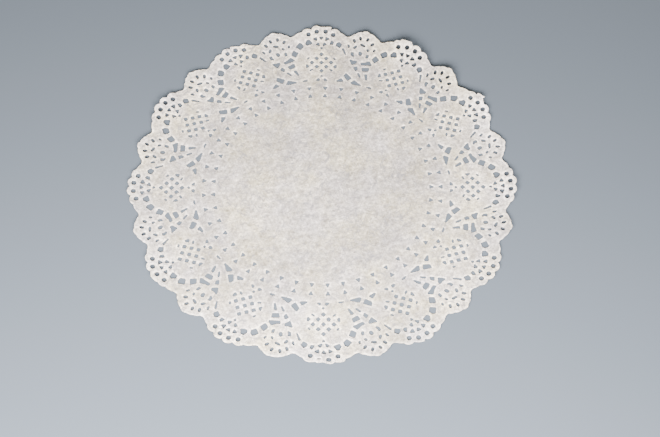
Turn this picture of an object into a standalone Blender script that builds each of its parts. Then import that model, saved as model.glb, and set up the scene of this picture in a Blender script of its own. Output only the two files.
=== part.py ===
"""Round paper doily, 24 cm across, lying on its flat middle with the lace rim curling up.

One sheet, so one solid. The lace is one repeat, turned twelve times about the centre: a
medallion with a lattice window, and beside it a plain small lobe. A sheet this size is cut
from paper under a quarter of a millimetre thick and is made one millimetre thick here.

Millimetres are used throughout and turned into metres as the mesh is made. A repeat's own
axes stand at the doily's centre: x points clockwise along the rim, y outwards through the
middle of the medallion.
"""
import math

import bpy
from mathutils import Matrix, Vector
from mathutils.geometry import delaunay_2d_cdt

METRES_PER_MM = 0.001

# Driving dimensions, in mm
REPEATS = 12
SHEET_THICKNESS = 1.0
MIDDLE_RADIUS = 64.0
FOOT_RADIUS = 93.0
FEET = 8
FEET_TURN = math.radians(7.5)
FEET_RISE = 0.15
RIM_RADIUS = 120.0
CURL_POWER = 2.5
RIM_HOLE_DIAMETER = 2.8
RIM_HOLE_SIDES = 8
LATTICE_CENTRE = (-0.4, 94.2)
LATTICE_STEP = (3.13, 3.24)
LATTICE_CELLS = 3
CELL_HALF_WIDTH = 1.4
CELL_HALF_HEIGHT = 1.45

# Round gaps in the four scallops of a medallion: centre x, centre y
RIM_HOLES = (
    (-8.9, 115.9),
    (-3.5, 117.9),
    (2.4, 117.9),
    (7.4, 115.4),
)

# The large gaps of one repeat, corner by corner
LARGE_GAPS = {
    "loaf": ((-9.9, 111.5), (-8.3, 111.7), (-6.2, 108.7), (-9.9, 107.3), (-10.9, 109.0)),
    "upper square": ((-14.7, 109.5), (-13.0, 108.3), (-12.2, 106.3), (-14.3, 104.0), (-17.2, 106.2)),
    "lower square": ((-19.0, 103.3), (-15.5, 101.6), (-17.1, 98.0), (-20.0, 99.6)),
    "long bar": ((-20.7, 97.7), (-17.6, 95.6), (-23.9, 92.5), (-25.2, 93.9), (-22.9, 95.2)),
    "short bar": ((-18.1, 93.0), (-17.4, 90.4), (-20.5, 88.6), (-22.4, 90.7)),
    "wedge": ((-18.7, 87.1), (-17.0, 88.0), (-14.9, 84.1), (-15.5, 83.6)),
    "pentagon": ((11.4, 110.0), (13.1, 107.8), (11.5, 105.5), (9.1, 107.3), (9.6, 109.0)),
    "tapered slit": ((13.3, 104.9), (14.2, 105.1), (15.9, 99.9), (15.6, 99.8)),
    "spandrel": ((17.9, 96.6), (20.4, 95.5), (22.6, 95.3), (22.6, 93.9), (19.5, 92.1)),
    "inner tooth": ((9.0, 79.8), (12.4, 81.8), (13.8, 79.2), (9.4, 79.1)),
    "inner square": ((15.7, 85.8), (19.1, 81.8), (16.4, 80.1), (14.2, 83.8)),
    "inner kite": ((18.2, 78.2), (20.8, 80.2), (25.0, 76.3), (24.6, 75.8), (19.2, 77.2)),
}

# The rim of one repeat, as arcs end to end: start x, start y, how far the arc bulges outwards
# of its chord, and its number of straight steps. The last one ends at the next repeat's first.
RIM_ARCS = (
    (-20.6, 113.7, -0.2, 2),
    (-18.3, 115.0, 0.45, 3),
    (-13.4, 117.6, 1.45, 5),
    (-7.1, 119.5, 2.0, 6),
    (-0.3, 120.6, 1.9, 6),
    (6.25, 119.3, 1.5, 5),
    (12.1, 116.9, 0.2, 2),
    (15.5, 114.75, -0.25, 2),
    (17.8, 113.85, -0.1, 1),
    (19.3, 114.35, 0.3, 2),
    (22.4, 115.7, 0.55, 3),
    (26.8, 116.75, 1.15, 4),
    (31.8, 115.6, 0.55, 3),
    (36.0, 112.1, 0.3, 2),
    (38.1, 109.7, -0.1, 1),
)

# How high the paper stands off the table at RIM_RADIUS, in mm: at each repeat's medallion, then
# at the small lobe anticlockwise of it. The rows run anticlockwise from the medallion on +Y.
RIM_LIFT = (
    (1.8, 1.7),
    (0.5, 2.1),
    (3.2, 2.8),
    (1.5, 2.4),
    (2.5, 1.9),
    (2.0, 1.6),
    (2.4, 2.8),
    (1.0, 1.5),
    (1.7, 2.1),
    (3.4, 1.6),
    (2.3, 4.8),
    (4.9, 2.8),
)

# Rings of loose points that let the sheet bend between its gaps: radius in mm, points. The feet
# are among those at FOOT_RADIUS.
SUPPORT_RINGS = (
    (20.0, 3),
    (MIDDLE_RADIUS, 24),
    (FOOT_RADIUS, 48),
    (99.0, 48),
    (105.0, 48),
    (111.0, 48),
)
SUPPORT_CLEARANCE = 1.6

PAPER_COLOUR = (0.70, 0.68, 0.65, 1.0)
PAPER_ROUGHNESS = 0.85


def repeat_turn(repeat):
    """Angle from +Y to a repeat's medallion, anticlockwise."""
    return math.tau * repeat / REPEATS


def to_doily(point, repeat):
    """A point in a repeat's own axes, in the doily's axes."""
    return Matrix.Rotation(repeat_turn(repeat), 2) @ Vector(point)


def arc_points(start, end, bulge, steps):
    """Points on a circular arc from start up to but not including end."""
    chord = end - start
    half = chord.length / 2.0
    radius = (half * half + bulge * bulge) / (2.0 * bulge)
    outward = Vector((-chord.y, chord.x)).normalized()
    centre = (start + end) / 2.0 + outward * (bulge - radius)
    sweep = -4.0 * math.atan2(bulge, half)
    turns = [Matrix.Rotation(sweep * step / steps, 2) for step in range(steps)]
    return [centre + turn @ (start - centre) for turn in turns]


def rim_outline():
    """The whole scalloped rim, clockwise, in the doily's axes."""
    points = []
    for repeat in range(REPEATS, 0, -1):
        starts = [to_doily(row[:2], repeat) for row in RIM_ARCS]
        starts.append(to_doily(RIM_ARCS[0][:2], repeat - 1))
        for row, start, end in zip(RIM_ARCS, starts, starts[1:]):
            points += arc_points(start, end, row[2], row[3])
    return points


def round_gap(centre):
    """A many-sided round gap in a repeat's axes."""
    radius = RIM_HOLE_DIAMETER / 2.0
    angles = [math.tau * (side + 0.5) / RIM_HOLE_SIDES for side in range(RIM_HOLE_SIDES)]
    return [(centre[0] + radius * math.cos(a), centre[1] + radius * math.sin(a)) for a in angles]


def lattice_gaps():
    """The square cells of the window, standing on their corners, in a repeat's axes."""
    gaps = []
    for row in range(LATTICE_CELLS):
        for column in range(LATTICE_CELLS):
            x = LATTICE_CENTRE[0] + LATTICE_STEP[0] * (column - row)
            y = LATTICE_CENTRE[1] + LATTICE_STEP[1] * (column + row + 1 - LATTICE_CELLS)
            gaps.append([
                (x + CELL_HALF_WIDTH, y),
                (x, y + CELL_HALF_HEIGHT),
                (x - CELL_HALF_WIDTH, y),
                (x, y - CELL_HALF_HEIGHT),
            ])
    return gaps


def all_gaps():
    """Every gap of the doily, in its axes."""
    one_repeat = [round_gap(centre) for centre in RIM_HOLES]
    one_repeat += lattice_gaps()
    one_repeat += LARGE_GAPS.values()
    gaps = []
    for repeat in range(REPEATS):
        gaps += [[to_doily(corner, repeat) for corner in gap] for gap in one_repeat]
    return gaps


def anticlockwise(loop):
    """A closed loop of corners, turned round if it runs clockwise."""
    doubled_area = sum(a.x * b.y - b.x * a.y for a, b in zip(loop, loop[1:] + loop[:1]))
    return loop if doubled_area > 0.0 else loop[::-1]


def edge_distance(point, loop):
    """Distance from a point to a closed loop of corners."""
    nearest = math.inf
    for start, end in zip(loop, loop[1:] + loop[:1]):
        along = end - start
        share = max(0.0, min(1.0, (point - start).dot(along) / along.length_squared))
        nearest = min(nearest, (point - start - along * share).length)
    return nearest


def support_points(loops):
    """Loose points on the support rings, clear of the rim and of every gap's edge."""
    points = []
    for radius, count in SUPPORT_RINGS:
        for step in range(count):
            point = Matrix.Rotation(math.tau * step / count, 2) @ Vector((0.0, radius))
            if all(edge_distance(point, loop) > SUPPORT_CLEARANCE for loop in loops):
                points.append(point)
    return points


def rim_lift(turn):
    """How high the underside stands at RIM_RADIUS, an angle of turn anticlockwise from +Y."""
    lifts = [height for row in RIM_LIFT for height in row]
    places = len(lifts)
    place = turn % math.tau / math.tau * places
    before = int(place) % places
    share = (1.0 - math.cos(math.pi * (place % 1.0))) / 2.0
    return lifts[before] * (1.0 - share) + lifts[(before + 1) % places] * share


def height(point):
    """How high the underside stands at a point: flat in the middle, a hair's breadth up between
    the feet, then curling up to the rim."""
    turn = math.atan2(-point.x, point.y)
    off_middle = (point.length - MIDDLE_RADIUS) / (FOOT_RADIUS - MIDDLE_RADIUS)
    off_middle = max(0.0, min(1.0, off_middle))
    between_feet = (1.0 - math.cos(FEET * (turn - FEET_TURN))) / 2.0
    curl = max(0.0, point.length - FOOT_RADIUS) / (RIM_RADIUS - FOOT_RADIUS)
    return FEET_RISE * between_feet * off_middle ** 2 + rim_lift(turn) * curl ** CURL_POWER


def sheet_mesh():
    """The underside of the lace sheet as one open, lifted surface."""
    loops = [anticlockwise(loop) for loop in [rim_outline()] + all_gaps()]
    points = [corner for loop in loops for corner in loop]
    faces = []
    first = 0
    for loop in loops:
        faces.append(list(range(first, first + len(loop))))
        first += len(loop)
    points += support_points(loops)
    corners, _, triangles, _, _, inside = delaunay_2d_cdt(points, [], faces, 1, 1e-5)
    paper = [triangle for triangle, owners in zip(triangles, inside) if owners == [0]]
    lifted = [Vector((p.x, p.y, height(p))) * METRES_PER_MM for p in corners]
    mesh = bpy.data.meshes.new("doily")
    mesh.from_pydata(lifted, [], paper)
    return mesh


def paper_material():
    material = bpy.data.materials.new("paper")
    material.use_nodes = True
    shader = material.node_tree.nodes["Principled BSDF"]
    shader.inputs["Base Color"].default_value = PAPER_COLOUR
    shader.inputs["Roughness"].default_value = PAPER_ROUGHNESS
    shader.inputs["Metallic"].default_value = 0.0
    return material


def build_doily():
    collection = bpy.data.collections.new("paper doily")
    bpy.context.scene.collection.children.link(collection)
    doily = bpy.data.objects.new("doily", sheet_mesh())
    doily.data.materials.append(paper_material())
    collection.objects.link(doily)
    solidify = doily.modifiers.new("sheet thickness", "SOLIDIFY")
    solidify.thickness = SHEET_THICKNESS * METRES_PER_MM
    solidify.offset = 1.0


for leftover in list(bpy.data.objects):
    bpy.data.objects.remove(leftover)
build_doily()
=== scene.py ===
"""Round paper doily, 24 cm across, lying on a pale table: the thin lace sheet with every gap cut.

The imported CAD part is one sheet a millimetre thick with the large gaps. Here it is replaced by
one sheet as thin as the real paper, on the same underside, with all 762 gaps, rounded corners,
cut edges that roll down towards the table and the flaws of a cheaply punched rim.

Millimetres are used throughout and turned into metres as the mesh is made. A repeat's own axes
stand at the doily's centre: x points clockwise along the rim, y outwards through the middle of
the medallion. Angles run anticlockwise.
"""

import math

import bpy
import numpy as np
from mathutils import Matrix, Vector, noise
from mathutils.geometry import delaunay_2d_cdt
from mathutils.kdtree import KDTree


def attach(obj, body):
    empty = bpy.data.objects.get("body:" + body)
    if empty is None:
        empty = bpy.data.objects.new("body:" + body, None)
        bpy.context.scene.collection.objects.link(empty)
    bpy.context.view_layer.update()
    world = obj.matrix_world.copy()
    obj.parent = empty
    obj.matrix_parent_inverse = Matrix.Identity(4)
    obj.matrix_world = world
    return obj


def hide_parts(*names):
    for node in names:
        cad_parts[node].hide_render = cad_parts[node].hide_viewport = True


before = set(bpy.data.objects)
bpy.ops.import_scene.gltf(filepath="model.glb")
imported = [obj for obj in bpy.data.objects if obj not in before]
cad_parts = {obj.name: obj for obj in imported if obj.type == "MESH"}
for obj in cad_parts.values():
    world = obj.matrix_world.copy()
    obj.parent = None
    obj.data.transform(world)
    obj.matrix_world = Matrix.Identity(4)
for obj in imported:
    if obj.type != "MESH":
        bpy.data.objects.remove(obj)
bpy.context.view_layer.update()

METRES_PER_MM = 0.001

# The sheet's main dimensions in mm, as in the CAD part
REPEATS = 12
MIDDLE_RADIUS = 64.0
FOOT_RADIUS = 93.0
FEET = 8
FEET_TURN = math.radians(7.5)
FEET_RISE = 0.15
RIM_RADIUS = 120.0
CURL_POWER = 2.5

# How high the paper stands off the table at RIM_RADIUS, in mm: at each repeat's medallion, then
# at the small lobe anticlockwise of it. The rows run anticlockwise from the medallion on +Y. These
# heights are the CAD part's and come from a fit to the photo.
RIM_LIFT = (
    (1.8, 1.7),
    (0.5, 2.1),
    (3.2, 2.8),
    (1.5, 2.4),
    (2.5, 1.9),
    (2.0, 1.6),
    (2.4, 2.8),
    (1.0, 1.5),
    (1.7, 2.1),
    (3.4, 1.6),
    (2.3, 4.8),
    (4.9, 2.8),
)

# Thin paper, its rolled cut edges and its cockle, in mm
PAPER_THICKNESS = 0.16
CUT_EDGE_THICKNESS = 0.12
ROLL_DEPTH = 0.11
ROLL_REACH = 0.3
COCKLES = (
    # wavelength, height
    (46.0, 0.16),
    (21.0, 0.08),
    (9.0, 0.02),
)
COCKLE_LAYER_SHIFT = 7.3

# How far the gaps reach beyond their charted corners and the rim stands in from its charted arcs,
# in mm, and how far off the eye was when the curling rim was charted flat
LARGE_GROWTH = 0.25
SMALL_GROWTH = 0.28
OVAL_GROWTH = 0.20
TRIANGLE_GROWTH = 0.19
RIM_TRIM = 0.24
CHART_DISTANCE = 970.0

# Spacing of the mesh, in mm: along the cuts, on the line of points that follows each cut, and on
# the grids of the middle and of the lace. An arc that bulges less than STRAIGHT_BULGE is a line.
EDGE_STEP = 0.62
CORNER_STEP = 0.6 * EDGE_STEP
OVAL_STEP = 0.9 * EDGE_STEP
LIP_WIDTH = 0.36
LIP_CLEARANCE = 0.8 * LIP_WIDTH
MIDDLE_STEP = 2.6
LACE_STEP = 1.55
GRID_RADIUS = RIM_RADIUS + 4.0
EDGE_CLEARANCE = 0.85
STRAIGHT_BULGE = 0.01
CREASE_ANGLE = math.radians(50.0)

# The rim of one repeat, as arcs end to end: start x, start y, how far the arc bulges outwards
# of its chord. The last one ends at the next repeat's first.
RIM_ARCS = (
    (-20.6, 113.7, -0.2),
    (-18.3, 115.0, 0.45),
    (-13.4, 117.6, 1.45),
    (-7.1, 119.5, 2.0),
    (-0.3, 120.6, 1.9),
    (6.25, 119.3, 1.5),
    (12.1, 116.9, 0.2),
    (15.5, 114.75, -0.25),
    (17.8, 113.85, -0.1),
    (19.3, 114.35, 0.3),
    (22.4, 115.7, 0.55),
    (26.8, 116.75, 1.15),
    (31.8, 115.6, 0.55),
    (36.0, 112.1, 0.3),
    (38.1, 109.7, -0.1),
)

# Where the die missed the rim: repeat, first arc replaced, first arc kept after it, and the arcs
# that stand there instead
RIM_FLAWS = (
    (0, 3, 5, (
        (-7.1, 119.5, 1.75), (-1.6, 121.6, 0.0), (6.1, 121.5, 0.1), (6.5, 121.1, 0.0),
        (6.1, 119.8, 0.0),
    )),
    (1, 4, 5, (
        (-0.4, 120.6, 0.0), (0.5, 122.0, 0.0), (0.9, 121.95, 0.25),
    )),
    (4, 2, 4, (
        (-13.4, 117.6, 1.0), (-8.6, 120.1, 0.0), (-8.2, 120.7, 0.3), (-3.8, 122.2, 0.45),
    )),
    (6, 2, 6, (
        (-13.4, 117.6, 0.9), (-10.9, 120.3, 0.2), (-6.9, 120.1, 0.0), (-6.0, 121.2, 0.35),
        (-2.3, 121.1, 0.1), (0.0, 120.2, 0.2), (3.9, 120.4, 0.0), (4.4, 119.9, 0.1),
        (8.6, 120.0, 0.6),
    )),
    (6, 9, 13, (
        (19.3, 114.3, 0.1), (22.1, 115.5, 0.6), (29.6, 116.2, 0.05), (33.2, 115.3, 0.3),
    )),
    (7, 4, 5, (
        (-0.5, 120.8, 0.0), (0.6, 122.1, 0.05), (1.3, 121.8, 0.4),
    )),
    (10, 2, 4, (
        (-13.4, 117.6, 0.9), (-8.9, 120.3, 0.0), (-8.7, 120.9, 0.0), (-9.3, 121.5, 0.0),
        (-8.6, 122.2, 0.1), (-6.1, 123.2, -0.05), (-4.5, 124.1, 0.0), (-4.0, 123.7, 0.0),
        (-4.1, 122.4, 0.0), (-2.8, 121.8, 0.15),
    )),
    (11, 2, 4, (
        (-13.4, 117.6, 0.9), (-9.8, 120.2, 0.0), (-9.6, 121.2, 0.1), (-8.7, 121.8, 0.05),
        (-3.3, 122.4, 0.0), (-2.2, 122.6, 0.0), (-1.7, 121.7, 0.1),
    )),
)

# Gaps of one repeat, corner by corner: those with well-rounded corners, then the finer ones
LARGE_GAPS = {
    "loaf": ((-9.9, 111.5), (-8.3, 111.7), (-6.2, 108.7), (-9.9, 107.3), (-10.9, 109.0)),
    "upper square": ((-14.7, 109.5), (-13.0, 108.3), (-12.2, 106.3), (-14.3, 104.0), (-17.2, 106.2)),
    "lower square": ((-19.0, 103.3), (-15.5, 101.6), (-17.1, 98.0), (-20.0, 99.6)),
    "long bar": ((-20.7, 97.7), (-17.6, 95.6), (-23.9, 92.5), (-25.2, 93.9), (-22.9, 95.2)),
    "short bar": ((-18.2, 93.05), (-17.45, 90.35), (-20.7, 88.5), (-22.6, 90.7)),
    "wedge": ((-18.7, 87.1), (-17.0, 88.0), (-14.9, 84.1), (-15.5, 83.6)),
    "pentagon": ((11.4, 110.0), (13.1, 107.8), (11.5, 105.5), (9.1, 107.3), (9.6, 109.0)),
    "tapered slit": ((13.0, 104.9), (14.25, 105.15), (15.75, 100.3), (15.15, 100.1)),
    "spandrel": ((17.8, 96.7), (20.4, 95.6), (22.7, 95.4), (22.7, 93.9), (19.5, 92.0)),
    "inner tooth": ((9.2, 79.85), (12.5, 81.8), (13.9, 79.2), (9.6, 79.1)),
    "inner square": ((15.65, 85.85), (19.15, 81.75), (16.4, 79.85), (14.1, 83.65)),
    "inner kite": ((18.2, 78.2), (20.8, 80.2), (25.0, 76.3), (24.6, 75.8), (19.2, 77.2)),
}
SMALL_GAPS = {
    "fan inner left": ((-4.1, 108.3), (-2.25, 109.75), (-1.35, 106.75)),
    "fan inner right": ((0.35, 106.9), (1.3, 109.95), (3.2, 108.2)),
    "fan top": ((-2.1, 114.0), (1.1, 114.0), (-0.5, 111.6)),
    "fan left": ((-6.1, 112.4), (-3.55, 113.9), (-3.35, 110.8)),
    "fan right": ((2.4, 113.95), (5.2, 112.5), (2.25, 110.75)),
    "fan far right": ((4.9, 108.25), (6.45, 111.2), (7.65, 109.9), (7.1, 108.1)),
    "fan dot": ((-1.4, 105.95), (0.6, 105.95), (-0.4, 104.15)),
    "left half cell": ((-10.4, 92.7), (-9.6, 92.5), (-8.5, 91.2), (-9.45, 90.0), (-10.1, 89.9)),
    "right half cell": ((7.3, 90.7), (8.55, 92.1), (9.45, 92.1), (9.25, 89.7), (8.35, 89.6)),
    "bottom left": ((-4.25, 79.95), (-2.85, 81.5), (-2.0, 81.8), (-1.55, 80.8), (-1.7, 79.8)),
    "bottom right": ((1.1, 80.1), (1.5, 81.7), (2.05, 81.55), (3.3, 80.2), (2.95, 79.85)),
    "low slit": ((-12.65, 79.2), (-11.15, 80.15), (-9.6, 80.15), (-9.4, 79.45), (-12.35, 78.95)),
    "second spandrel": ((20.45, 90.0), (22.55, 91.05), (23.15, 88.7), (21.8, 87.35)),
    "spandrel slit": ((22.85, 85.4), (23.5, 85.9), (24.0, 85.4), (25.0, 82.8), (24.45, 82.3)),
    "rosette inner left": (
        (19.0, 102.1), (20.8, 102.0), (20.4, 100.4), (20.9, 99.1), (20.2, 98.9), (19.0, 99.9),
    ),
    "rosette inner low right": (
        (29.25, 99.9), (30.6, 99.75), (30.05, 97.6), (28.35, 97.5), (28.8, 98.6),
    ),
    "rosette half-moon": (
        (16.8, 108.1), (17.6, 107.95), (18.3, 107.0), (18.0, 105.65), (17.3, 105.55), (17.1, 106.8),
    ),
}

# The radius that corners are rounded to, in mm, and the most of a side that a rounding takes
LARGE_CORNER = 0.6
SMALL_CORNER = 0.4
CORNER_SHARE = 0.46

# Oval gaps of one repeat: centre x, centre y, width, length, and how many degrees the length is
# turned away from outwards
OVAL_GAPS = {
    "rim round 1": (-8.9, 115.85, 2.8, 2.9, 0.0),
    "rim round 2": (-3.5, 117.9, 2.8, 2.9, 0.0),
    "rim round 3": (2.4, 117.9, 2.8, 2.9, 0.0),
    "rim round 4": (7.4, 115.4, 2.8, 2.9, 0.0),
    "low dot": (-0.3, 83.55, 1.4, 1.4, 0.0),
    "window slit upper left": (-9.05, 97.4, 1.1, 2.0, -40.0),
    "window slit upper right": (8.15, 97.1, 1.1, 2.1, 40.0),
    "window slit lower left": (-7.0, 88.3, 1.1, 2.5, -57.0),
    "window slit lower right": (5.85, 88.15, 1.1, 2.35, 56.0),
    "rosette centre": (25.0, 100.9, 2.2, 3.0, 0.0),
    "rosette inner 1": (21.75, 105.9, 1.65, 2.9, -45.0),
    "rosette inner 2": (26.85, 107.15, 1.55, 3.6, 58.0),
    "rosette inner 3": (30.05, 103.2, 1.4, 2.1, 15.0),
    "rosette outer 1": (21.3, 110.7, 1.75, 2.85, 18.0),
    "rosette outer 2": (25.45, 112.2, 1.65, 2.8, 8.0),
    "rosette outer 3": (30.2, 111.15, 1.7, 2.8, -33.0),
    "rosette outer 4": (33.15, 107.5, 1.8, 2.8, -55.0),
    "rosette outer 5": (34.25, 102.95, 1.3, 2.2, -35.0),
}
# The power of the ovals' curve: 2 would be an ellipse, and more is nearer to a rounded bar
OVAL_SQUARENESS = 2.4

# Where a gap of one repeat is misshapen: repeat, name, and the oval that stands there instead
ODD_OVALS = {
    (6, "rim round 2"): (-3.5, 118.3, 2.9, 2.8, 0.0),
    (6, "rim round 3"): (2.3, 117.6, 2.4, 0.6, 3.0),
}

# The window: square cells standing on their corners, in mm
LATTICE_CENTRE = (-0.4, 94.2)
LATTICE_STEP = (3.13, 3.24)
LATTICE_CELLS = 3
CELL_HALF_WIDTH = 1.4
CELL_HALF_HEIGHT = 1.45

# Two rings of small triangles round the plain middle: base radius, apex radius, half width
TRIANGLE_RINGS = (
    (67.1, 70.0, 1.42),
    (75.15, 72.3, 1.5),
)
RING_TRIANGLES = 45
RING_TURN = math.radians(0.46 - 90.0)
TRIANGLE_CORNER = 0.3

# The paper's colours, linear, and how many stops paler or darker its layers make it
COOL_PAPER = (0.86, 0.78, 0.73, 1.0)
WARM_PAPER = (0.88, 0.775, 0.57, 1.0)
PALE_FIBRE = (0.68, 0.65, 0.61, 1.0)
DARK_FIBRE = (0.23, 0.22, 0.23, 1.0)
PALE_FIBRE_SHARE = 0.3
DARK_FIBRE_SHARE = 0.8
MIDDLE_STOPS = -1.00
RIM_STOPS = -0.55
# Painted highlight: the paper is made paler along every cut, fading out with the distance to it
CUT_HIGHLIGHT_STOPS = 0.75
CUT_HIGHLIGHT_FADE = 1.4
DRIFT_STOPS = 1.2
CLOUD_STOPS = 0.5
FLOCK_STOPS = 2.8
FELT_STOPS = 4.4

# Felted fibres seen as noise drawn out along four directions: angle in radians, shift of the noise
FELT_LAYERS = (
    (0.25, 0.4),
    (1.1, 1.3),
    (2.0, 2.9),
    (2.8, 4.4),
)

# Single fibres, as the middle line of a noise: scale, shift of the noise
DARK_FIBRES = (
    (85.0, 0.0),
    (105.0, 1.7),
    (70.0, 4.3),
)
PALE_FIBRES = (
    (170.0, 6.1),
    (130.0, 7.7),
    (150.0, 9.4),
)

# The table and the light, in metres and watts
FLOOR_COLOUR = (0.106, 0.126, 0.149, 1.0)
FLOOR_SIZE = 3.0
FLOOR_DROP = 0.00005
WORLD_COLOUR = (1.0, 0.95, 0.87, 1.0)
WORLD_STRENGTH = 0.38
LIGHTS = (
    # name, place, what it points at, watts, width, depth, colour
    ("key", (-0.04, -0.46, 0.36), (0.0, -0.25, 0.0), 27.0, 0.6, 0.3, (0.985, 0.96, 0.97)),
    ("top", (0.3, 0.4, 1.6), (0.0, 0.0, 0.0), 7.0, 1.6, 1.6, (1.0, 0.96, 0.88)),
)

# The camera, in mm and degrees, fitted to where the picture was taken from
CAMERA_PLACE = (-6.53, -483.10, 841.45)
CAMERA_ELEVATION = math.radians(61.279)
CAMERA_AZIMUTH = math.radians(1.388)
CAMERA_ROLL = math.radians(1.274)
CAMERA_LENS = 84.61
CAMERA_SENSOR = 36.0
CAMERA_CLIP_METRES = (0.01, 20.0)


def to_doily(point, repeat):
    """A point in a repeat's own axes, in the doily's axes."""
    return Matrix.Rotation(math.tau * repeat / REPEATS, 2) @ Vector(point)


def straight_points(start, end, step):
    """Points from start up to but not including end, at most step apart."""
    count = max(1, math.ceil((end - start).length / step))
    return [start.lerp(end, i / count) for i in range(count)]


def arc_points(start, end, bulge, step):
    """Points on a circular arc from start up to but not including end."""
    if abs(bulge) < STRAIGHT_BULGE:
        return straight_points(start, end, step)
    chord = end - start
    half = chord.length / 2.0
    radius = (half * half + bulge * bulge) / (2.0 * bulge)
    outward = Vector((-chord.y, chord.x)).normalized()
    centre = (start + end) / 2.0 + outward * (bulge - radius)
    sweep = -4.0 * math.atan2(bulge, half)
    count = max(2, math.ceil(abs(sweep * radius) / step))
    turns = [Matrix.Rotation(sweep * i / count, 2) for i in range(count)]
    return [centre + turn @ (start - centre) for turn in turns]


def rim_rows(repeat):
    """The rim arcs of one repeat, with its flaws in place."""
    rows = list(RIM_ARCS)
    flaws = [flaw for flaw in RIM_FLAWS if flaw[0] == repeat]
    for _, first, after, arcs in reversed(flaws):
        rows[first:after] = arcs
    return rows


def rim_outline():
    """The whole scalloped rim, clockwise, in the doily's axes."""
    points = []
    for turn in range(REPEATS, 0, -1):
        rows = rim_rows(turn % REPEATS)
        starts = [to_doily(row[:2], turn) for row in rows]
        starts.append(to_doily(RIM_ARCS[0][:2], turn - 1))
        for row, start, end in zip(rows, starts, starts[1:]):
            points += arc_points(start, end, row[2], EDGE_STEP)
    return points


def loop_area(loop):
    """Area inside a closed loop, positive when it runs anticlockwise."""
    return sum(a.x * b.y - b.x * a.y for a, b in zip(loop, loop[1:] + loop[:1])) / 2.0


def anticlockwise(loop):
    """A closed loop, turned round if it runs clockwise."""
    return loop if loop_area(loop) > 0.0 else loop[::-1]


def offset_loop(loop, distance):
    """An anticlockwise loop grown outwards by a distance, or shrunk where it is negative."""
    points = []
    for before, here, after in zip(loop[-1:] + loop[:-1], loop, loop[1:] + loop[:1]):
        along = ((here - before).normalized() + (after - here).normalized()).normalized()
        points.append(here + Vector((along.y, -along.x)) * distance)
    return points


def rounded_gap(corners, radius, growth):
    """A polygon gap with its corners rounded, then grown outwards."""
    corners = anticlockwise([Vector(corner) for corner in corners])
    count = len(corners)
    ends = []
    for i, corner in enumerate(corners):
        back = corners[i - 1] - corner
        ahead = corners[(i + 1) % count] - corner
        turn = math.pi - back.angle(ahead)
        reach = min(
            radius * math.tan(turn / 2.0),
            CORNER_SHARE * back.length,
            CORNER_SHARE * ahead.length,
        )
        start = corner + back.normalized() * reach
        end = corner + ahead.normalized() * reach
        ends.append((start, end, turn, reach))
    points = []
    for i, (start, end, turn, reach) in enumerate(ends):
        steps = max(2, round(turn * reach / math.tan(turn / 2.0) / CORNER_STEP))
        for step in range(steps):
            share = step / steps
            near = start.lerp(corners[i], share)
            far = corners[i].lerp(end, share)
            points.append(near.lerp(far, share))
        points += straight_points(end, ends[(i + 1) % count][0], EDGE_STEP)
    return offset_loop(points, growth)


def oval_gap(x, y, width, length, turn):
    """A gap between an oval and a rounded bar, grown outwards."""
    count = max(8, round(math.pi * (width + length) / 2.0 / OVAL_STEP))
    tilt = Matrix.Rotation(math.radians(turn), 2)
    power = 2.0 / OVAL_SQUARENESS
    points = []
    for i in range(count):
        angle = math.tau * i / count
        across = math.copysign(abs(math.cos(angle)) ** power, math.cos(angle))
        along = math.copysign(abs(math.sin(angle)) ** power, math.sin(angle))
        offset = Vector((across * width / 2.0, along * length / 2.0))
        points.append(Vector((x, y)) + tilt @ offset)
    return offset_loop(points, OVAL_GROWTH)


def lattice_gaps():
    """The square cells of the window, in a repeat's axes."""
    gaps = []
    for row in range(LATTICE_CELLS):
        for column in range(LATTICE_CELLS):
            x = LATTICE_CENTRE[0] + LATTICE_STEP[0] * (column - row)
            y = LATTICE_CENTRE[1] + LATTICE_STEP[1] * (column + row + 1 - LATTICE_CELLS)
            corners = (
                (x + CELL_HALF_WIDTH, y),
                (x, y + CELL_HALF_HEIGHT),
                (x - CELL_HALF_WIDTH, y),
                (x, y - CELL_HALF_HEIGHT),
            )
            gaps.append(rounded_gap(corners, SMALL_CORNER, SMALL_GROWTH))
    return gaps


def triangle_gaps():
    """The two rings of triangles round the middle, in the doily's axes."""
    gaps = []
    for base, apex, half_width in TRIANGLE_RINGS:
        corners = ((-half_width, base), (half_width, base), (0.0, apex))
        triangle = rounded_gap(corners, TRIANGLE_CORNER, TRIANGLE_GROWTH)
        for step in range(RING_TRIANGLES):
            turn = Matrix.Rotation(RING_TURN + math.tau * step / RING_TRIANGLES, 2)
            gaps.append([turn @ p for p in triangle])
    return gaps


def all_gaps():
    """Every gap of the doily, in its axes."""
    plain = lattice_gaps()
    plain += [rounded_gap(gap, LARGE_CORNER, LARGE_GROWTH) for gap in LARGE_GAPS.values()]
    plain += [rounded_gap(gap, SMALL_CORNER, SMALL_GROWTH) for gap in SMALL_GAPS.values()]
    gaps = triangle_gaps()
    for repeat in range(REPEATS):
        ovals = [oval_gap(*ODD_OVALS.get((repeat, name), oval)) for name, oval in OVAL_GAPS.items()]
        gaps += [[to_doily(point, repeat) for point in gap] for gap in plain + ovals]
    return gaps


def drawn_in(point):
    """A charted point, drawn towards the middle as far as the curling rim draws it in."""
    return point * (1.0 - base_height(point) / CHART_DISTANCE)


def point_tree(points):
    """A tree that finds the nearest of the points."""
    tree = KDTree(len(points))
    for i, point in enumerate(points):
        tree.insert(point.to_3d(), i)
    tree.balance()
    return tree


def grid_points(step, inner, outer):
    """Points on a triangular grid between two radii."""
    points = []
    row_height = step * math.sqrt(3.0) / 2.0
    rows = math.ceil(outer / row_height)
    columns = math.ceil(outer / step) + 1
    for row in range(-rows, rows + 1):
        for column in range(-columns, columns + 1):
            point = Vector(((column + 0.5 * (row % 2)) * step, row * row_height))
            if inner <= point.length < outer:
                points.append(point)
    return points


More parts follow.
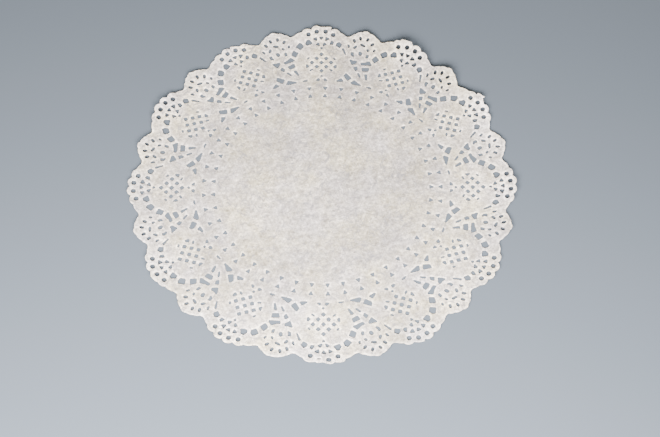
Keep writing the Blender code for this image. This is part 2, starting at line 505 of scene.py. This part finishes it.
def rim_lift(turn):
    """How high the underside stands at RIM_RADIUS, an angle of turn anticlockwise from +Y."""
    lifts = [height for row in RIM_LIFT for height in row]
    places = len(lifts)
    place = turn % math.tau / math.tau * places
    before = int(place) % places
    share = (1.0 - math.cos(math.pi * (place % 1.0))) / 2.0
    return lifts[before] * (1.0 - share) + lifts[(before + 1) % places] * share


def base_height(point):
    """The underside's height in the CAD part."""
    turn = math.atan2(-point.x, point.y)
    off_middle = (point.length - MIDDLE_RADIUS) / (FOOT_RADIUS - MIDDLE_RADIUS)
    off_middle = max(0.0, min(1.0, off_middle))
    between_feet = (1.0 - math.cos(FEET * (turn - FEET_TURN))) / 2.0
    curl = max(0.0, point.length - FOOT_RADIUS) / (RIM_RADIUS - FOOT_RADIUS)
    return FEET_RISE * between_feet * off_middle ** 2 + rim_lift(turn) * curl ** CURL_POWER


def cockle(point):
    """The paper's own soft waves, never below zero."""
    total = 0.0
    for layer, (wavelength, size) in enumerate(COCKLES):
        place = Vector((point.x / wavelength, point.y / wavelength, COCKLE_LAYER_SHIFT * layer))
        total += size * (0.5 + 0.5 * noise.noise(place))
    return total


def cut_loops():
    """The rim and the gaps as the die cuts them, all anticlockwise, in the doily's axes."""
    rim = offset_loop(anticlockwise([drawn_in(p) for p in rim_outline()]), -RIM_TRIM)
    return rim, [anticlockwise([drawn_in(p) for p in gap]) for gap in all_gaps()]


def flat_sheet():
    """The sheet laid flat: its points, its triangles, each point's distance to a cut edge, and
    the area left after cutting."""
    rim, gaps = cut_loops()
    points = [point for loop in [rim] + gaps for point in loop]
    edge_tree = point_tree(points)
    faces = []
    first = 0
    for loop in [rim] + gaps:
        faces.append(list(range(first, first + len(loop))))
        first += len(loop)
    lips = offset_loop(rim, -LIP_WIDTH)
    lips += [point for gap in gaps for point in offset_loop(gap, LIP_WIDTH)]
    lips = [p for p in lips if edge_tree.find(p.to_3d())[2] > LIP_CLEARANCE]
    inside = grid_points(MIDDLE_STEP, 0.0, MIDDLE_RADIUS)
    inside += grid_points(LACE_STEP, MIDDLE_RADIUS, GRID_RADIUS)
    inside = [p for p in inside if edge_tree.find(p.to_3d())[2] > EDGE_CLEARANCE]
    points += lips + inside
    corners, _, triangles, _, _, owners = delaunay_2d_cdt(points, [], faces, 1, 1e-5)
    paper = np.array([t for t, owner in zip(triangles, owners) if owner == [0]])
    used = np.unique(paper)
    renumber = np.zeros(len(corners), int)
    renumber[used] = np.arange(len(used))
    corners = [corners[i] for i in used]
    distance = np.array([edge_tree.find(p.to_3d())[2] for p in corners])
    area = loop_area(rim) - sum(loop_area(gap) for gap in gaps)
    return corners, renumber[paper], distance, area


def boundary_edges(triangles):
    """Directed edges that only one triangle has."""
    edges = np.concatenate([triangles[:, [0, 1]], triangles[:, [1, 2]], triangles[:, [2, 0]]])
    size = triangles.max() + 1
    forward = edges[:, 0] * size + edges[:, 1]
    backward = edges[:, 1] * size + edges[:, 0]
    return edges[~np.isin(forward, backward)]


def paper_sheet():
    """The closed thin sheet, and its flat area in square millimetres."""
    corners, triangles, distance, area = flat_sheet()
    away = 1.0 - np.exp(-distance / ROLL_REACH)
    lift = np.array([base_height(p) + cockle(p) for p in corners])
    flat = np.array([(p.x, p.y) for p in corners])
    under = lift + ROLL_DEPTH * away
    over = under + CUT_EDGE_THICKNESS + (PAPER_THICKNESS - CUT_EDGE_THICKNESS) * away
    count = len(corners)
    vertices = np.concatenate([np.column_stack([flat, under]), np.column_stack([flat, over])])
    edges = boundary_edges(triangles)
    start, end = edges[:, 0], edges[:, 1]
    walls = np.column_stack([start, end, end + count, start + count])
    faces = triangles[:, ::-1].tolist() + (triangles + count).tolist() + walls.tolist()
    mesh = bpy.data.meshes.new("paper_doily_sheet")
    mesh.from_pydata((vertices * METRES_PER_MM).tolist(), [], faces)
    mesh.attributes.new("edge_distance", "FLOAT", "POINT")
    mesh.attributes["edge_distance"].data.foreach_set("value", np.tile(distance, 2))
    mesh.shade_smooth()
    mesh.set_sharp_from_angle(angle=CREASE_ANGLE)
    sheet = bpy.data.objects.new("paper_doily_sheet", mesh)
    bpy.context.scene.collection.objects.link(sheet)
    return sheet, area


class Nodes:
    """Adds nodes to a material's tree. An input is another node's output or a plain value."""

    def __init__(self, material):
        material.use_nodes = True
        self.tree = material.node_tree
        self.shader = self.tree.nodes["Principled BSDF"]

    def add(self, kind, inputs=None, **settings):
        node = self.tree.nodes.new(kind)
        for name, value in settings.items():
            setattr(node, name, value)
        for socket, value in (inputs or {}).items():
            if isinstance(value, bpy.types.NodeSocket):
                self.tree.links.new(value, node.inputs[socket])
            else:
                node.inputs[socket].default_value = value
        return node

    def noise(self, place, scale, detail, roughness, offset=0.0, distortion=0.0):
        shift = (offset, 0.7 * offset, 0.3 * offset)
        moved = self.add("ShaderNodeVectorMath", {0: place, 1: shift})
        texture = self.add("ShaderNodeTexNoise", {
            "Vector": moved.outputs[0],
            "Scale": scale,
            "Detail": detail,
            "Roughness": roughness,
            "Distortion": distortion,
        })
        return texture.outputs["Fac"]

    def ramp(self, value, low, high, to_low=0.0, to_high=1.0):
        ramped = self.add("ShaderNodeMapRange", {
            "Value": value,
            "From Min": low,
            "From Max": high,
            "To Min": to_low,
            "To Max": to_high,
        })
        return ramped.outputs["Result"]

    def math(self, operation, a, b, c=0.0):
        done = self.add("ShaderNodeMath", {0: a, 1: b, 2: c}, operation=operation)
        return done.outputs[0]

    def fibres(self, place, layers, width, thinning):
        """Curling hairlines, broken into lengths where a coarser noise is low."""
        strands = 0.0
        for scale, offset in layers:
            field = self.noise(place, scale, 2.2, 0.55, offset=offset, distortion=0.8)
            off_line = self.math("ABSOLUTE", self.math("SUBTRACT", field, 0.5), 0.0)
            line = self.ramp(off_line, 0.0, width, 1.0, 0.0)
            stretch = self.ramp(self.noise(place, 210.0, 1.0, 0.5, offset=offset + 9.0), *thinning)
            strands = self.math("MAXIMUM", self.math("MULTIPLY", line, stretch), strands)
        return strands

    def mix(self, share, a, b, blend="MIX"):
        """Two colours mixed. Inputs 6 and 7 and output 2 of the node are its colours."""
        inputs = {"Factor": share, 6: a, 7: b}
        node = self.add("ShaderNodeMix", inputs, data_type="RGBA", blend_type=blend)
        return node.outputs[2]

    def felt(self, place):
        """Fine noise drawn out along several directions, as felted fibres lie."""
        total = 0.0
        for angle, offset in FELT_LAYERS:
            inputs = {"Vector": place, "Angle": angle}
            turned = self.add("ShaderNodeVectorRotate", inputs, rotation_type="Z_AXIS")
            inputs = {0: turned.outputs[0], 1: (0.2, 1.0, 1.0)}
            drawn = self.add("ShaderNodeVectorMath", inputs, operation="MULTIPLY")
            layer = self.noise(drawn.outputs[0], 620.0, 1.0, 0.6, offset=offset, distortion=0.4)
            total = self.math("MULTIPLY_ADD", layer, 1.0 / len(FELT_LAYERS), total)
        return total


def paper_material():
    """Bleached tissue paper: cloudy where the pulp lies thicker and thinner, with curling fibres
    caught in it, paler towards the rim, and with a highlight painted along the cuts."""
    material = bpy.data.materials.new("doily_paper")
    nodes = Nodes(material)
    place = nodes.add("ShaderNodeTexCoord").outputs["Object"]
    drift = nodes.noise(place, 24.0, 0.5, 0.5, offset=3.1)
    clouds = nodes.noise(place, 110.0, 1.0, 0.5)
    flocks = nodes.noise(place, 470.0, 2.0, 0.95, offset=2.3, distortion=0.3)
    felt = nodes.felt(place)
    dark_fibres = nodes.fibres(place, DARK_FIBRES, 0.016, (0.44, 0.50))
    pale_fibres = nodes.fibres(place, PALE_FIBRES, 0.03, (0.42, 0.55))
    hue = nodes.noise(place, 45.0, 2.5, 0.6, offset=8.9)
    tint = nodes.mix(nodes.ramp(hue, 0.35, 0.65), COOL_PAPER, WARM_PAPER)

    # How many stops paler than the tint the paper is: by radius in metres, by a painted highlight
    # that fades with the distance to a cut in mm, then by each layer of mottling
    radius = nodes.add("ShaderNodeVectorMath", {0: place}, operation="LENGTH").outputs["Value"]
    distance = nodes.add("ShaderNodeAttribute", attribute_name="edge_distance").outputs["Fac"]
    cut_highlight = nodes.ramp(distance, 0.0, CUT_HIGHLIGHT_FADE, CUT_HIGHLIGHT_STOPS, 0.0)
    stops = nodes.math("ADD", nodes.ramp(radius, 0.080, 0.120, MIDDLE_STOPS, RIM_STOPS), cut_highlight)
    layers = (
        (drift, DRIFT_STOPS),
        (clouds, CLOUD_STOPS),
        (flocks, FLOCK_STOPS),
        (felt, FELT_STOPS),
    )
    for layer, weight in layers:
        level = nodes.math("SUBTRACT", layer, 0.5)
        stops = nodes.math("MULTIPLY_ADD", level, weight, stops)
    shade = nodes.math("POWER", 2.0, stops)
    shades = nodes.add("ShaderNodeCombineColor", {0: shade, 1: shade, 2: shade}).outputs[0]
    colour = nodes.mix(1.0, tint, shades, "MULTIPLY")
    colour = nodes.mix(nodes.math("MULTIPLY", pale_fibres, PALE_FIBRE_SHARE), colour, PALE_FIBRE)
    colour = nodes.mix(nodes.math("MULTIPLY", dark_fibres, DARK_FIBRE_SHARE), colour, DARK_FIBRE)

    relief = nodes.math("MULTIPLY_ADD", felt, 1.2, nodes.math("MULTIPLY", flocks, 0.4))
    bump = nodes.add("ShaderNodeBump", {"Strength": 0.6, "Distance": 0.0004, "Height": relief})
    roughness = nodes.ramp(clouds, 0.3, 0.7, 0.92, 0.8)
    nodes.tree.links.new(colour, nodes.shader.inputs["Base Color"])
    nodes.tree.links.new(bump.outputs["Normal"], nodes.shader.inputs["Normal"])
    nodes.tree.links.new(roughness, nodes.shader.inputs["Roughness"])
    nodes.shader.inputs["Specular IOR Level"].default_value = 0.25
    return material


def floor():
    """A plain pale table."""
    size, down = FLOOR_SIZE, -FLOOR_DROP
    mesh = bpy.data.meshes.new("floor")
    mesh.from_pydata(
        [(-size, -size, down), (size, -size, down), (size, size, down), (-size, size, down)],
        [],
        [(0, 1, 2, 3)],
    )
    material = bpy.data.materials.new("floor")
    nodes = Nodes(material)
    nodes.shader.inputs["Base Color"].default_value = FLOOR_COLOUR
    nodes.shader.inputs["Roughness"].default_value = 0.9
    nodes.shader.inputs["Specular IOR Level"].default_value = 0.2
    mesh.materials.append(material)
    table = bpy.data.objects.new("floor", mesh)
    bpy.context.scene.collection.objects.link(table)


def lights():
    """Soft light, most of it from the camera's side."""
    world = bpy.data.worlds.new("studio")
    bpy.context.scene.world = world
    world.use_nodes = True
    background = world.node_tree.nodes["Background"]
    background.inputs["Color"].default_value = WORLD_COLOUR
    background.inputs["Strength"].default_value = WORLD_STRENGTH
    for name, place, target, watts, width, depth, colour in LIGHTS:
        data = bpy.data.lights.new(name, "AREA")
        data.shape = "RECTANGLE"
        data.energy = watts
        data.size = width
        data.size_y = depth
        data.color = colour
        light = bpy.data.objects.new(name, data)
        light.location = place
        light.rotation_mode = "QUATERNION"
        light.rotation_quaternion = (Vector(target) - Vector(place)).to_track_quat("-Z", "Y")
        bpy.context.scene.collection.objects.link(light)


def camera():
    """The camera where the picture was taken."""
    ahead = Vector((
        math.sin(CAMERA_AZIMUTH) * math.cos(CAMERA_ELEVATION),
        math.cos(CAMERA_AZIMUTH) * math.cos(CAMERA_ELEVATION),
        -math.sin(CAMERA_ELEVATION),
    ))
    level = Vector((math.cos(CAMERA_AZIMUTH), -math.sin(CAMERA_AZIMUTH), 0.0))
    upright = level.cross(ahead)
    right = math.cos(CAMERA_ROLL) * level + math.sin(CAMERA_ROLL) * upright
    up = -math.sin(CAMERA_ROLL) * level + math.cos(CAMERA_ROLL) * upright
    data = bpy.data.cameras.new("camera")
    data.sensor_fit = "HORIZONTAL"
    data.sensor_width = CAMERA_SENSOR
    data.lens = CAMERA_LENS
    data.clip_start, data.clip_end = CAMERA_CLIP_METRES
    made = bpy.data.objects.new("camera", data)
    turn = Matrix((right, up, -ahead)).transposed().to_4x4()
    made.matrix_world = Matrix.Translation(Vector(CAMERA_PLACE) * METRES_PER_MM) @ turn
    bpy.context.scene.collection.objects.link(made)
    bpy.context.scene.camera = made


doily, flat_area = paper_sheet()
doily.data.materials.append(paper_material())
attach(doily, "root")
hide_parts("doily")
floor()
lights()
camera()
